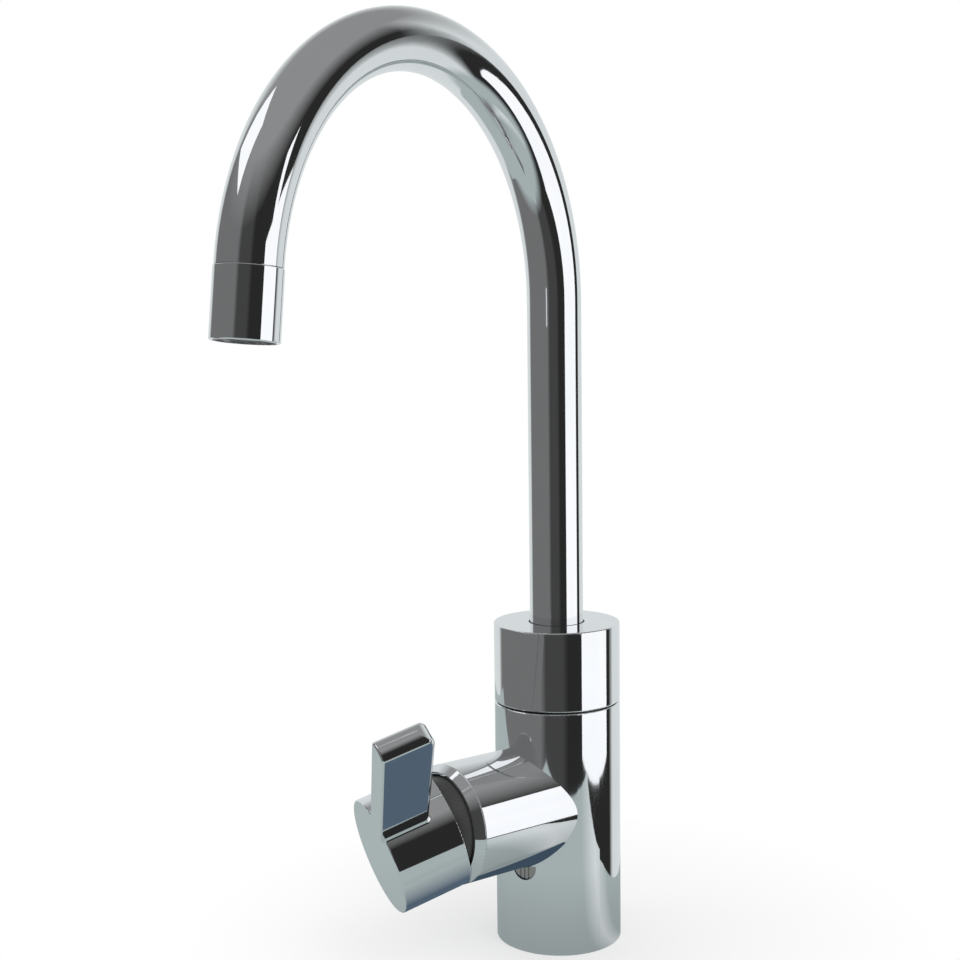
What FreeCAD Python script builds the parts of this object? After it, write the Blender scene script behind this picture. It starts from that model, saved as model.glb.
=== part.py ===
"""Three way filtered water tap: one parametric document, lengths in millimetres.

Row frame: the origin is the centre of the foot on the worktop, +Z is up and the spout reaches along -Y.
The side arm leaves the body at arm_azimuth from -Y towards -X.

Local frames used below:
  arm frame     the row frame turned about Z, so that the arm lies along -Y
  arm axis      +Z runs outward along the arm, +Y is up, the origin is on the tap's axis
  turret frame  the arm axis frame turned with the lever
  lever frame   the origin is on the tilt pin, +Z runs along the cap's axis, +Y along the lever plate
  outlet frame  the origin is at the end of the bend, +Z runs with the water
"""
import FreeCAD
import Part
import math
import os
import re
import Sketcher

V = FreeCAD.Vector
FULL_TURN = 360.0
TINY = 0.001

# Driving dimensions: name, value, what it is.
DIMENSIONS = [
    # cartridge, from which the arm and the body take their size
    ("cartridge_bore", 17.6, "radius of the cartridge bore"),
    ("housing_play", 0.2, "gap between the cartridge housing and its bore"),
    ("housing_wall", 1.6, "wall of the cartridge housing"),
    ("base_thickness", 5.0, "thickness of the cartridge base"),
    ("disc_margin", 1.3, "housing wall to the fixed ceramic disc"),
    ("fixed_disc_thickness", 4.0, "thickness of the fixed ceramic disc"),
    ("moving_disc_thickness", 3.0, "thickness of the moving ceramic disc"),
    ("disc_pocket", 1.6, "depth of the channel in the moving disc"),
    ("slider_play", 0.6, "gap between the moving disc and the housing at the end of its travel"),
    ("slider_gap", 0.9, "gap between the disc carrier and the turning carrier"),
    ("ball_radius", 2.4, "radius of the stem's ball"),
    ("ball_play", 0.25, "gap round the stem's ball"),
    ("ball_seat", 2.0, "depth of the ball's centre in the disc carrier"),
    ("socket_depth", 5.6, "depth of the socket for the stem's ball"),
    ("shoulder_height", 28.0, "seat to the housing's shoulder"),
    ("shoulder_thickness", 3.0, "thickness of the housing's shoulder"),
    ("neck_bore", 10.5, "bore of the housing's neck"),
    ("neck_wall", 1.7, "wall of the housing's neck"),
    ("neck_length", 8.5, "length of the housing's neck"),
    ("flange_thickness", 1.0, "thickness of the turning carrier's flange"),
    ("flange_width", 1.3, "width of the turning carrier's flange"),
    ("slot_wall", 2.0, "wall at the ends of the turning carrier's slot"),
    ("pin_above_neck", 2.0, "top of the neck to the tilt pin"),
    ("pin_cover", 2.5, "tilt pin to the top of the turning carrier"),
    ("pin_radius", 1.5, "radius of the tilt pin"),
    ("pin_inset", 0.5, "tilt pin ends, inside the carrier's surface"),
    ("side_play", 0.1, "clearance of parts that are assembled by hand"),
    ("running_fit", 0.05, "radial clearance of a turning fit"),
    ("peg_radius", 1.3, "radius of a cartridge locating peg"),
    ("peg_length", 2.2, "length of a cartridge locating peg"),
    ("peg_side", 13.0, "locating pegs, sideways"),
    ("peg_rise", 5.0, "locating pegs, above the arm's axis"),
    # stem
    ("stem_width", 8.0, "side of the square stem"),
    ("stem_heel", 4.0, "stem below the pin"),
    ("stem_neck", 1.9, "radius of the stem's lower shaft"),
    # side arm
    ("arm_azimuth", 18.5, "angle of the arm from the spout's rest direction"),
    ("arm_height", 58.8, "height of the arm's axis"),
    ("seat_wall", 2.0, "wall between the mixing chamber and the cartridge seat"),
    ("thread_step", 1.9, "cartridge bore to the nut's thread"),
    ("thread_spare", 2.0, "length of the nut's thread below the nut"),
    ("skirt_step", 1.4, "nut's thread to the bore round the dome's skirt"),
    ("skirt_gap", 0.3, "gap below the dome's skirt"),
    ("mouth_step", 1.1, "bore round the skirt to the recess for the trim ring"),
    ("mouth_gap", 0.2, "gap below the trim ring's spigot"),
    ("arm_wall", 2.0, "wall of the arm round the trim ring"),
    # nut, dome and ring
    ("nut_height", 8.6, "height of the cartridge nut"),
    ("nut_top_depth", 2.0, "arm's end face to the top of the nut"),
    ("nut_slot_width", 3.0, "width of a spanner slot in the nut"),
    ("nut_slot_depth", 2.0, "depth of a spanner slot in the nut"),
    ("nut_rim", 2.0, "wall outside a spanner slot"),
    ("dome_gap", 0.45, "gap between the dome and the ring"),
    ("dome_wall", 1.2, "wall of the dome"),
    ("dome_hole", 14.0, "radius of the hole in the dome"),
    ("dome_skirt_depth", 5.3, "arm's end face to the end of the dome's skirt"),
    ("ring_length", 3.7, "length of the bevelled ring"),
    ("ring_taper", 2.4, "arm's radius to the ring's front edge"),
    ("ring_inset", 0.15, "ring's bore inside the skirt's bore"),
    ("ring_spigot", 2.2, "length of the ring's spigot in the arm"),
    ("seam_edge", 0.3, "roundings that draw the seam behind the ring"),
    # body
    ("body_margin", 2.0, "arm's radius to the body's radius"),
    ("body_above_arm", 41.7, "arm's axis to the top of the body"),
    ("edge", 0.5, "rounding of the turned outer edges"),
    ("gasket_margin", 2.5, "body's edge to the foot gasket"),
    ("gasket_width", 4.0, "width of the foot gasket"),
    ("gasket_depth", 1.8, "thickness of the foot gasket"),
    # water ways
    ("inlet_thread", 4.46, "core radius of an M10x1 inlet thread"),
    ("inlet_depth", 12.0, "depth of an inlet thread"),
    ("inlet_side", 9.0, "hot and cold inlets, sideways from the axis"),
    ("inlet_forward", 8.0, "hot and cold inlets, forward of the axis"),
    ("filtered_back", 5.8, "filtered inlet, back from the axis"),
    ("stud_thread", 3.32, "core radius of the M8 fixing thread"),
    ("stud_depth", 18.0, "depth of the fixing thread"),
    ("foot_wall", 1.18, "fixing thread to the foot gasket"),
    ("riser_radius", 2.6, "radius of the upright water ways"),
    ("port_radius", 1.8, "radius of a cartridge port"),
    ("drill_over", 0.7, "how far a drilling runs past the one it meets"),
    ("hot_port_side", 6.2, "hot and cold ports, sideways"),
    ("hot_port_drop", 2.0, "hot and cold ports, below the arm's axis"),
    ("filtered_port_drop", 6.2, "filtered inlet port, below the arm's axis"),
    ("mixed_port_rise", 6.8, "mixed outlet port, above the arm's axis"),
    ("filtered_out_rise", 0.4, "filtered outlet port, above the arm's axis"),
    ("seal_width", 1.3, "width of a port seal"),
    ("seal_depth", 1.5, "thickness of a port seal"),
    # mixing chamber and post
    ("spigot_radius", 16.0, "outer radius of the spout's spigot"),
    ("chamber_wall", 1.0, "filtered water way to the mixing chamber's floor"),
    ("post_radius", 6.5, "outer radius of the filtered water post"),
    ("post_height", 8.5, "height of the post above the chamber's floor"),
    ("post_way", 1.5, "radius of the water way down the post"),
    ("post_step", 2.0, "height of the step that the inner tube stands on"),
    ("tube_foot_gap", 0.3, "gap below the inner tube's foot"),
    ("post_gap", 0.6, "gap between the post and the spigot"),
    # front plug
    ("plug_drop", 22.6, "arm's axis down to the front plug"),
    ("plug_radius", 5.6, "radius of the half round front plug"),
    ("plug_recess", 0.9, "how far the plug lies behind the surface"),
    ("plug_length", 2.3, "length of the plug"),
    ("plug_seal", 1.0, "thickness of the washer behind the plug"),
    ("washer_margin", 0.8, "cross drilling to the washer's bore"),
    ("plug_side", 0.9, "front plug, sideways from the spout's rest direction"),
    ("plug_flat", 0.6, "height of the half round plug's straight sides"),
    ("plug_groove_width", 0.5, "width of a groove in the plug's face"),
    ("plug_groove_depth", 0.4, "depth of a groove in the plug's face"),
    ("plug_groove_pitch", 1.9, "pitch of the grooves in the plug's face"),
    ("plug_drill", 1.5, "radius of the cross drilling behind the plug"),
    ("plug_drill_drop", 2.4, "plug's centre down to the cross drilling"),
    ("bevel", 0.3, "small bevels on trim"),
    # lever
    ("lever_turn", 41.4, "turn of the lever from upright, as photographed"),
    ("lever_tilt", 22.5, "tilt of the lever, as photographed"),
    ("cap_back", 2.85, "pin to the back edge of the cap"),
    ("cap_length", 28.4, "length of the cap"),
    ("cap_inset", 0.5, "arm's radius to the cap's radius"),
    ("cap_wall", 1.2, "wall of the cap's skirt"),
    ("cap_rim", 0.7, "wall of the cap's skirt at its edge"),
    ("cap_rim_length", 1.5, "length of the thinned edge"),
    ("cap_front", 10.25, "thickness of the cap's front"),
    ("cap_edge", 0.7, "rounding of the cap's front edge"),
    ("cap_back_edge", 0.25, "rounding of the cap's back edge"),
    ("plate_thickness", 9.2, "thickness of the lever plate"),
    ("plate_width", 21.1, "width of the lever plate"),
    ("plate_top", 88.6, "cap's axis to the lever plate's end"),
    ("plate_proud", 1.9, "how far the plate stands before the cap's face"),
    ("plate_start", 18.0, "cap's axis to the foot of the plate's front"),
    ("plate_slope", 5.5, "length of the slope at the foot of the plate's front"),
    ("plate_corner", 6.0, "radius of the plate's rear corner"),
    ("plate_crown", 6.0, "radius of the plate's crowned end"),
    ("plate_edge", 1.6, "rounding of the plate's end and rear edges"),
    ("plate_front_edge", 0.9, "rounding of the plate's front edges"),
    ("plate_foot", 1.2, "rounding where the back of the plate meets the cap"),
    ("adapter_wall", 1.45, "wall of the square adapter"),
    ("adapter_length", 6.9, "length of the square adapter"),
    ("adapter_gap", 0.6, "gap in front of the square adapter"),
    ("set_screw_radius", 2.05, "radius of the set screw"),
    ("set_screw_length", 9.0, "length of the set screw"),
    ("set_screw_setback", 6.25, "cap's face to the set screw's axis"),
    ("screw_socket", 1.3, "half width of a hex socket across its flats"),
    ("screw_socket_depth", 2.2, "depth of a hex socket"),
    ("cover_radius", 3.15, "radius of the set screw's cover"),
    ("cover_depth", 3.0, "depth of the cover's seat"),
    ("cover_flush", 0.3, "how far the cover lies behind the surface"),
    # swivel
    ("seam_gap", 0.6, "gap between the body and the collar"),
    ("glide_depth", 1.0, "depth of the glide ring's recess"),
    ("glide_inset", 1.0, "spigot to the glide ring's bore"),
    ("glide_margin", 1.4, "body's edge to the glide ring"),
    ("collar_height", 32.4, "height of the collar"),
    ("head_step", 2.0, "spigot's radius to its threaded head"),
    ("head_height", 16.0, "depth of the thread inside the collar"),
    ("spigot_web", 3.0, "thickness of the spigot's web"),
    ("tube_socket", 8.0, "depth of the tube's seat in the spigot"),
    ("web_hole", 1.9, "radius of a hole in the spigot's web"),
    ("o_ring", 0.92, "section radius of a spigot O-ring"),
    ("o_ring_groove", 2.4, "width of an O-ring groove"),
    ("o_ring_margin", 6.0, "O-rings from the spigot's end and from its head"),
    ("stop_groove_depth", 2.8, "depth of the stop groove"),
    ("stop_play", 0.2, "gap round the stop screw's tip"),
    ("stop_tip", 1.95, "radius of the stop screw's tip"),
    ("stop_body", 2.55, "radius of the stop screw's thread"),
    ("stop_start", 0.8, "spigot to the start of the stop screw's thread"),
    ("stop_sink", 1.6, "body's surface to the stop screw's head"),
    ("swivel_each_way", 120.0, "swivel of the spout each way"),
    # spout
    ("tube_radius", 11.0, "outer radius of the spout tube"),
    ("tube_wall", 1.5, "wall of the spout tube"),
    ("spout_rise", 131.7, "collar's top to the centre of the bend"),
    ("bend_radius", 91.7, "radius of the bend"),
    ("bend_angle", 172.65, "angle of the bend"),
    ("seat_ring", 0.6, "width of the dark ring round the tube"),
    ("seat_ring_depth", 1.0, "depth of the dark ring round the tube"),
    ("inner_tube_radius", 4.0, "outer radius of the filtered water tube"),
    ("inner_tube_wall", 1.25, "wall of the filtered water tube"),
    # outlet
    ("sleeve_proud", 0.25, "outlet sleeve's radius beyond the tube's"),
    ("sleeve_length", 23.4, "length of the outlet sleeve"),
    ("sleeve_gap", 0.15, "seam above the outlet sleeve"),
    ("sleeve_neck", 5.0, "length of the sleeve's neck in the tube"),
    ("sleeve_neck_play", 0.25, "gap round the sleeve's neck, which clears the bend"),
    ("sleeve_neck_wall", 1.25, "wall of the sleeve's neck"),
    ("sleeve_shoulder", 7.0, "depth of the shoulder above the aerator"),
    ("sleeve_wall", 1.25, "wall of the sleeve round the aerator"),
    ("aerator_wall", 1.3, "wall of the aerator"),
    ("aerator_seal", 1.2, "thickness of the aerator's washer"),
    ("aerator_recess", 0.8, "aerator's end inside the sleeve"),
    ("aerator_web", 2.0, "thickness of the aerator's web"),
    ("nozzle_bore", 1.9, "bore of the filtered water nozzle"),
    ("nozzle_reach", 3.0, "length of the nozzle in the inner tube"),
    ("nozzle_wall", 1.7, "wall of the nozzle at its mouth"),
    ("mixed_hole", 1.5, "radius of a mixed water hole"),
    ("grid_thickness", 3.0, "thickness of the flow straightener"),
    ("grid_sink", 0.4, "flow straightener behind the aerator's end"),
    ("grid_hole", 0.65, "radius of a hole in the flow straightener"),
    ("grid_margin", 1.25, "edges of the flow straightener to its holes' centres"),
]
WEB_HOLES = 6
MIXED_HOLES = 8
GRID_HOLES = (12, 20)
NUT_SLOTS = 4

# Sizes and places that follow from the driving dimensions.
DERIVED = {
    # radii of the arm and the body, from the cartridge outward
    "thread_bore": "cartridge_bore + thread_step",
    "skirt_bore": "thread_bore + skirt_step",
    "mouth_bore": "skirt_bore + mouth_step",
    "arm_radius": "mouth_bore + arm_wall",
    "body_radius": "arm_radius + body_margin",
    "housing_radius": "cartridge_bore - housing_play",
    "housing_inner": "housing_radius - housing_wall",
    "fixed_disc_radius": "housing_inner - disc_margin",
    "moving_disc_radius": "housing_inner - slide_travel - slider_play",
    "neck_radius": "neck_bore + neck_wall",
    "barrel_radius": "neck_bore - side_play",
    "nut_hole": "neck_radius + housing_play",
    "ring_bore": "skirt_bore - ring_inset",
    "ring_front": "arm_radius - ring_taper",
    "dome_radius": "ring_bore - dome_gap",
    "dome_inner": "dome_radius - dome_wall",
    "nut_land": "dome_inner - side_play",
    "cap_radius": "arm_radius - cap_inset",
    # places along the arm, from the tap's axis
    "seat": "spigot_radius + seat_wall",
    "fixed_disc_foot": "seat + base_thickness",
    "moving_disc_foot": "fixed_disc_foot + fixed_disc_thickness",
    "slider_foot": "moving_disc_foot + moving_disc_thickness",
    "shoulder": "seat + shoulder_height",
    "neck_top": "shoulder + neck_length",
    "turret_foot": "shoulder - shoulder_thickness - flange_thickness - side_play",
    "slider_top": "turret_foot - slider_gap",
    "pivot": "neck_top + pin_above_neck",
    "turret_top": "pivot + pin_cover",
    "nut_top": "shoulder + nut_height",
    "arm_reach": "nut_top + nut_top_depth",
    "skirt_depth": "dome_skirt_depth + skirt_gap",
    "ball_drop": "pivot - slider_top + ball_seat",
    "slide_travel": "ball_drop * sin(lever_tilt)",
    # heights of the body
    "body_top": "arm_height + body_above_arm",
    "collar_foot": "body_top + seam_gap",
    "collar_top": "collar_foot + collar_height",
    "plug_height": "arm_height - plug_drop",
    "chamber_floor": "arm_height + filtered_out_rise + port_radius + chamber_wall",
    "post_top": "chamber_floor + post_height",
    "spigot_end": "post_top + post_gap",
    "stop_height": "(spigot_end + collar_foot) / 2",
    "head_top": "collar_foot + head_height - side_play",
    "tube_foot": "head_top - tube_socket",
    "bend_height": "collar_top + spout_rise",
    "outlet_reach": "bend_radius * (1 - cos(bend_angle))",
    "outlet_height": "bend_height + bend_radius * sin(bend_angle)",
    # foot and plug
    "gasket_outer": "body_radius - gasket_margin",
    "gasket_inner": "gasket_outer - gasket_width",
    "stud_back": "gasket_inner - stud_thread - foot_wall",
    "seal_radius": "port_radius + seal_width",
    "plug_face": "body_radius - plug_recess",
    "plug_back": "plug_face - plug_length",
    "plug_floor": "plug_back - plug_seal",
    # lever, from the tilt pin
    "cap_face": "cap_back + cap_length",
    "cavity_end": "cap_face - cap_front",
    "stem_top": "cavity_end + adapter_length",
    "adapter_half": "stem_width / 2 + running_fit + adapter_wall",
    "set_screw_axis": "cap_face - set_screw_setback",
    "plate_front": "cap_face + plate_proud",
    "plate_back": "plate_front - plate_width",
    # spigot, tube and outlet
    "glide_inner": "spigot_radius + glide_inset",
    "glide_outer": "body_radius - glide_margin",
    "head_radius": "spigot_radius + head_step",
    "tube_bore": "tube_radius - tube_wall",
    "spigot_bore": "tube_bore + side_play",
    "o_ring_floor": "spigot_radius - 2 * o_ring - running_fit / 5",
    "stop_floor": "spigot_radius - stop_groove_depth",
    "inner_tube_bore": "inner_tube_radius - inner_tube_wall",
    "sleeve_radius": "tube_radius + sleeve_proud",
    "sleeve_neck_radius": "tube_bore - sleeve_neck_play",
    "sleeve_bore": "sleeve_neck_radius - sleeve_neck_wall",
    "aerator_bore": "sleeve_radius - sleeve_wall",
    "aerator_top": "sleeve_shoulder + aerator_seal",
    "aerator_end": "sleeve_length - aerator_recess",
    "cage_radius": "aerator_bore - running_fit",
    "cage_bore": "cage_radius - aerator_wall",
    "nozzle_radius": "inner_tube_bore - 2 * running_fit",
    "nozzle_foot": "nozzle_bore + nozzle_wall",
    "grid_foot": "aerator_end - grid_sink - grid_thickness",
}
SIZE = {name: number for name, number, note in DIMENSIONS}

doc = FreeCAD.newDocument("FilteredWaterTap")
sizes = doc.addObject("Spreadsheet::Sheet", "Sizes")
for row, (name, number, note) in enumerate(DIMENSIONS, start=1):
    sizes.set(f"A{row}", name)
    sizes.set(f"B{row}", str(number))
    sizes.setAlias(f"B{row}", name)
    sizes.set(f"C{row}", note)
doc.recompute()

# Cartridge ports in the arm axis frame: sideways and up.
HOT_PORT = ("-hot_port_side", "-hot_port_drop")
COLD_PORT = ("hot_port_side", "-hot_port_drop")
FILTERED_PORT = ("0", "-filtered_port_drop")
MIXED_PORT = ("0", "mixed_port_rise")
FILTERED_OUT = ("0", "filtered_out_rise")
PORTS = [HOT_PORT, COLD_PORT, FILTERED_PORT, MIXED_PORT, FILTERED_OUT]
PEGS = [("-peg_side", "peg_rise"), ("peg_side", "peg_rise")]
O_RING_HEIGHTS = ("spigot_end + o_ring_margin", "collar_foot - o_ring_margin")


def bound(text):
    """The expression with derived sizes written out and every driving dimension pointing at its cell."""
    def written_out(match):
        word = match.group()
        if word in DERIVED:
            return "(" + bound(DERIVED[word]) + ")"
        return "Sizes." + word if word in SIZE else word
    return re.sub(r"[a-z_]+", written_out, text)


def value(text):
    """The number that an expression gives now."""
    result = sizes.evalExpression(bound(text))
    return float(getattr(result, "Value", result))


def new_body(label):
    body = doc.addObject("PartDesign::Body", label)
    body.Label = label
    return body


def origin_feature(body, role):
    return next(feature for feature in body.Origin.OriginFeatures if feature.Role == role)


def new_sketch(body, name, role="XY_Plane", offset="0"):
    """A sketch on one of the body's own origin planes, shifted along its normal."""
    sketch = body.newObject("Sketcher::SketchObject", name)
    sketch.AttachmentSupport = [(origin_feature(body, role), "")]
    sketch.MapMode = "FlatFace"
    sketch.setExpression(".AttachmentOffset.Base.z", bound(offset))
    return sketch


def fix(sketch, geometry, point, place):
    """Hold one point of a sketch at a place given by two expressions."""
    for kind, text in zip(("DistanceX", "DistanceY"), place):
        index = sketch.addConstraint(Sketcher.Constraint(kind, -1, 1, geometry, point, value(text)))
        sketch.setExpression(f"Constraints[{index}]", bound(text))


def draw_circle(sketch, radius, centre=("0", "0")):
    middle = V(value(centre[0]), value(centre[1]), 0)
    circle = sketch.addGeometry(Part.Circle(middle, V(0, 0, 1), value(radius)), False)
    fix(sketch, circle, 3, centre)
    index = sketch.addConstraint(Sketcher.Constraint("Radius", circle, value(radius)))
    sketch.setExpression(f"Constraints[{index}]", bound(radius))


def draw_outline(sketch, corners):
    """A closed outline. A corner is (x, y), or (x, y, centre, radius) where an arc leads to the next one.

    A positive radius turns anticlockwise, a negative one clockwise.
    """
    points = [V(value(corner[0]), value(corner[1]), 0) for corner in corners]
    ends = []
    for index, corner in enumerate(corners):
        start = points[index]
        finish = points[(index + 1) % len(points)]
        if len(corner) == 2:
            edge = sketch.addGeometry(Part.LineSegment(start, finish), False)
            ends.append((edge, 1, 2))
            continue
        centre = V(value(corner[2][0]), value(corner[2][1]), 0)
        turns_left = value(corner[3]) > 0
        first, last = (start, finish) if turns_left else (finish, start)
        angles = [math.atan2(point.y - centre.y, point.x - centre.x) for point in (first, last)]
        circle = Part.Circle(centre, V(0, 0, 1), abs(value(corner[3])))
        edge = sketch.addGeometry(Part.ArcOfCircle(circle, *angles), False)
        ends.append((edge, 1, 2) if turns_left else (edge, 2, 1))
        limit = sketch.addConstraint(Sketcher.Constraint("Radius", edge, abs(value(corner[3]))))
        sketch.setExpression(f"Constraints[{limit}]", bound(f"abs({corner[3]})"))
    for index, (edge, start, finish) in enumerate(ends):
        following = ends[(index + 1) % len(ends)]
        sketch.addConstraint(Sketcher.Constraint("Coincident", edge, finish, following[0], following[1]))
        fix(sketch, edge, start, corners[index])


def add_feature(body, kind, name, sketch, **settings):
    feature = body.newObject(f"PartDesign::{kind}", name)
    feature.Profile = sketch
    for key, setting in settings.items():
        setattr(feature, key, setting)
    body.Tip = feature
    return feature


def turn(body, name, corners, kind="Revolution", role="XZ_Plane"):
    """A turned shape about the body's Z axis. The corners are (radius, height)."""
    sketch = new_sketch(body, name + "Profile", role)
    draw_outline(sketch, corners)
    return add_feature(body, kind, name, sketch, ReferenceAxis=(sketch, ["V_Axis"]), Angle=FULL_TURN)


def extrude(body, name, sketch, length, kind="Pad", back=False, centred=False):
    feature = add_feature(body, kind, name, sketch)
    feature.setExpression("Length", bound(length))
    feature.Reversed = back
    if centred:
        feature.Midplane = True
    return feature


def cut_holes(body, name, radius, centres, depth, role="XY_Plane", offset="0", back=False):
    """Round holes from one plane. They run against its normal, or with it where back is true."""
    sketch = new_sketch(body, name + "Circles", role, offset)
    for centre in centres:
        draw_circle(sketch, radius, centre)
    return extrude(body, name, sketch, depth, "Pocket", back)


def rectangle(left, low, right, high):
    return [(left, low), (right, low), (right, high), (left, high)]


def rounded_corner(outside, height, radius, top=False):
    """Two corners of a turned outline with the rounding between them, at its foot or at its top."""
    inside = f"{outside} - {radius}"
    level = f"{height} {'-' if top else '+'} {radius}"
    centre = (inside, level)
    if top:
        return [(outside, level, centre, radius), (inside, height)]
    return [(inside, height, centre, radius), (outside, level)]


def hexagon(half_width):
    """Corners of a hexagon that is half_width from its centre to each flat."""
    reach = f"({half_width}) / cos(30)"
    return [(f"{reach} * cos({60 * step})", f"{reach} * sin({60 * step})") for step in range(6)]


def polar_copies(body, name, feature, count, angle=FULL_TURN):
    doc.recompute()
    pattern = body.newObject("PartDesign::PolarPattern", name)
    pattern.Originals = [feature]
    pattern.Axis = (origin_feature(body, "Z_Axis"), [""])
    pattern.Angle = angle
    pattern.Occurrences = count
    body.Tip = pattern
    return pattern


def round_edges(body, name, radius, wanted, kind="Fillet"):
    """Round or chamfer the edges of the body that the test picks."""
    doc.recompute()
    base = body.Tip
    names = [f"Edge{number}" for number, edge in enumerate(base.Shape.Edges, start=1) if wanted(edge)]
    feature = body.newObject(f"PartDesign::{kind}", name)
    feature.Base = (base, names)
    feature.setExpression("Radius" if kind == "Fillet" else "Size", bound(radius))
    body.Tip = feature
    return feature


def rotation(axis, angle):
    return FreeCAD.Placement(V(0, 0, 0), FreeCAD.Rotation(axis, angle))


def shift(x, y, z):
    return FreeCAD.Placement(V(x, y, z), FreeCAD.Rotation())


X_AXIS = V(1, 0, 0)
Y_AXIS = V(0, 1, 0)
Z_AXIS = V(0, 0, 1)
ARM_FRAME = rotation(Z_AXIS, -value("arm_azimuth"))
ARM_AXIS = ARM_FRAME * shift(0, 0, value("arm_height")) * rotation(X_AXIS, 90)
TURRET_FRAME = ARM_AXIS * rotation(Z_AXIS, -value("lever_turn"))
LEVER_FRAME = TURRET_FRAME * shift(0, 0, value("pivot")) * rotation(X_AXIS, value("lever_tilt"))
SLIDER_FRAME = TURRET_FRAME * shift(0, value("slide_travel"), 0)
PLUG_FRAME = shift(-value("plug_side"), 0, value("plug_height")) * rotation(X_AXIS, 90)
OUTLET_FRAME = shift(0, -value("outlet_reach"), value("outlet_height")) * rotation(X_AXIS, value("bend_angle"))


def make_body_casting():
    body = new_body("body_casting")
    chamber = "(spigot_radius + running_fit)"
    recess = "(glide_outer + side_play)"
    turn(body, "Column", [
        ("0", "0"),
        ("gasket_inner - side_play", "0"),
        ("gasket_inner - side_play", "gasket_depth"),
        ("gasket_outer + side_play", "gasket_depth"),
        ("gasket_outer + side_play", "0"),
        *rounded_corner("body_radius", "0", "edge"),
        *rounded_corner("body_radius", "body_top", "edge", top=True),
        (recess, "body_top"),
        (recess, "body_top - glide_depth"),
        ("0", "body_top - glide_depth"),
    ])
    arm = new_sketch(body, "ArmCircle", "XZ_Plane")
    draw_circle(arm, "arm_radius", ("0", "arm_height"))
    extrude(body, "Arm", arm, "arm_reach")
    round_edges(body, "ArmEndEdge", "seam_edge", lambda edge: edge.BoundBox.YMax < -value("body_radius"))
    turn(body, "MixingChamber", [
        ("post_radius", "chamber_floor"),
        (chamber, "chamber_floor"),
        (chamber, "body_top"),
        ("0", "body_top"),
        ("0", "post_top"),
        ("post_radius", "post_top"),
    ], "Groove")
    steps = [
        ("ThreadBore", "thread_bore", "arm_reach - shoulder + thread_spare"),
        ("SkirtBore", "skirt_bore", "skirt_depth"),
        ("MouthBore", "mouth_bore", "ring_spigot + mouth_gap"),
        ("CartridgeBore", "cartridge_bore", "arm_reach - seat"),
    ]
    for name, radius, depth in steps:
        cut_holes(body, name, radius, [("0", "arm_height")], depth, "XZ_Plane", "arm_reach")
    cut_casting_water_ways(body)
    cut_front_plug_seat(body)
    cut_stop_screw_hole(body)
    body.Placement = ARM_FRAME
    return body


def cut_casting_water_ways(body):
    """Threads and risers in the foot, then the short ways from the cartridge seat."""
    pair = [("-inlet_side", "-inlet_forward"), ("inlet_side", "-inlet_forward")]
    filtered = [("0", "filtered_back")]
    cut_holes(body, "InletThreads", "inlet_thread", pair + filtered, "inlet_depth", back=True)
    cut_holes(body, "FixingThread", "stud_thread", [("0", "stud_back")], "stud_depth", back=True)
    risers = [
        ("HotColdRisers", pair, "hot_port_drop"),
        ("FilteredRiser", filtered, "filtered_port_drop"),
    ]
    for name, centres, drop in risers:
        height = f"arm_height - {drop} + port_radius + drill_over"
        cut_holes(body, name, "riser_radius", centres, height, back=True)
    drillings = [
        ("HotColdWays", [HOT_PORT, COLD_PORT], "seat - inlet_forward + drill_over"),
        ("FilteredInWay", [FILTERED_PORT], "seat + filtered_back + drill_over"),
        ("MixedOutWay", [MIXED_PORT], "seat - spigot_radius + port_radius"),
        ("FilteredOutWay", [FILTERED_OUT], "seat + drill_over"),
    ]
    for name, ports, depth in drillings:
        centres = [(side, f"arm_height + {rise}") for side, rise in ports]
        cut_holes(body, name, "port_radius", centres, depth, "XZ_Plane", "seat")
    pegs = [(side, f"arm_height + {rise}") for side, rise in PEGS]
    cut_holes(body, "PegHoles", "peg_radius + running_fit", pegs, "peg_length + side_play", "XZ_Plane", "seat")
    cut_holes(body, "PostSocket", "inner_tube_radius + running_fit", [("0", "0")], "post_height - post_step",
              offset="post_top")
    cut_holes(body, "PostWay", "post_way", [("0", "0")],
              "post_top - arm_height - filtered_out_rise + drill_over / 2", offset="post_top")


def spout_side_sketch(body, name, reach):
    """An upright sketch in the casting that faces the spout's rest direction, at a reach from the axis."""
    sketch = new_sketch(body, name, "XZ_Plane", f"({reach}) * cos(arm_azimuth)")
    sketch.AttachmentOffset = FreeCAD.Placement(V(0, 0, 0), FreeCAD.Rotation(Y_AXIS, value("arm_azimuth")))
    sketch.setExpression(".AttachmentOffset.Rotation.Angle", bound("arm_azimuth * 1 deg"))
    sketch.setExpression(".AttachmentOffset.Base.x", bound(f"({reach}) * sin(arm_azimuth)"))
    return sketch


def half_round(margin):
    """Outline of the front plug, a disc's lower half, grown by a margin on all sides."""
    radius = f"(plug_radius + {margin})"
    flat = f"plug_flat + {margin}"
    return [
        (f"-{radius}", "0", ("0", "0"), radius),
        ("0", f"-{radius}", ("0", "0"), radius),
        (radius, "0"),
        (radius, flat),
        (f"-{radius}", flat),
    ]


def moved(corners, side, up):
    """The same outline, shifted."""
    places = []
    for x, y, *arc in corners:
        if arc:
            (centre_x, centre_y), radius = arc
            arc = [(f"{centre_x} + {side}", f"{centre_y} + {up}"), radius]
        places.append((f"{x} + {side}", f"{y} + {up}", *arc))
    return places


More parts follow.
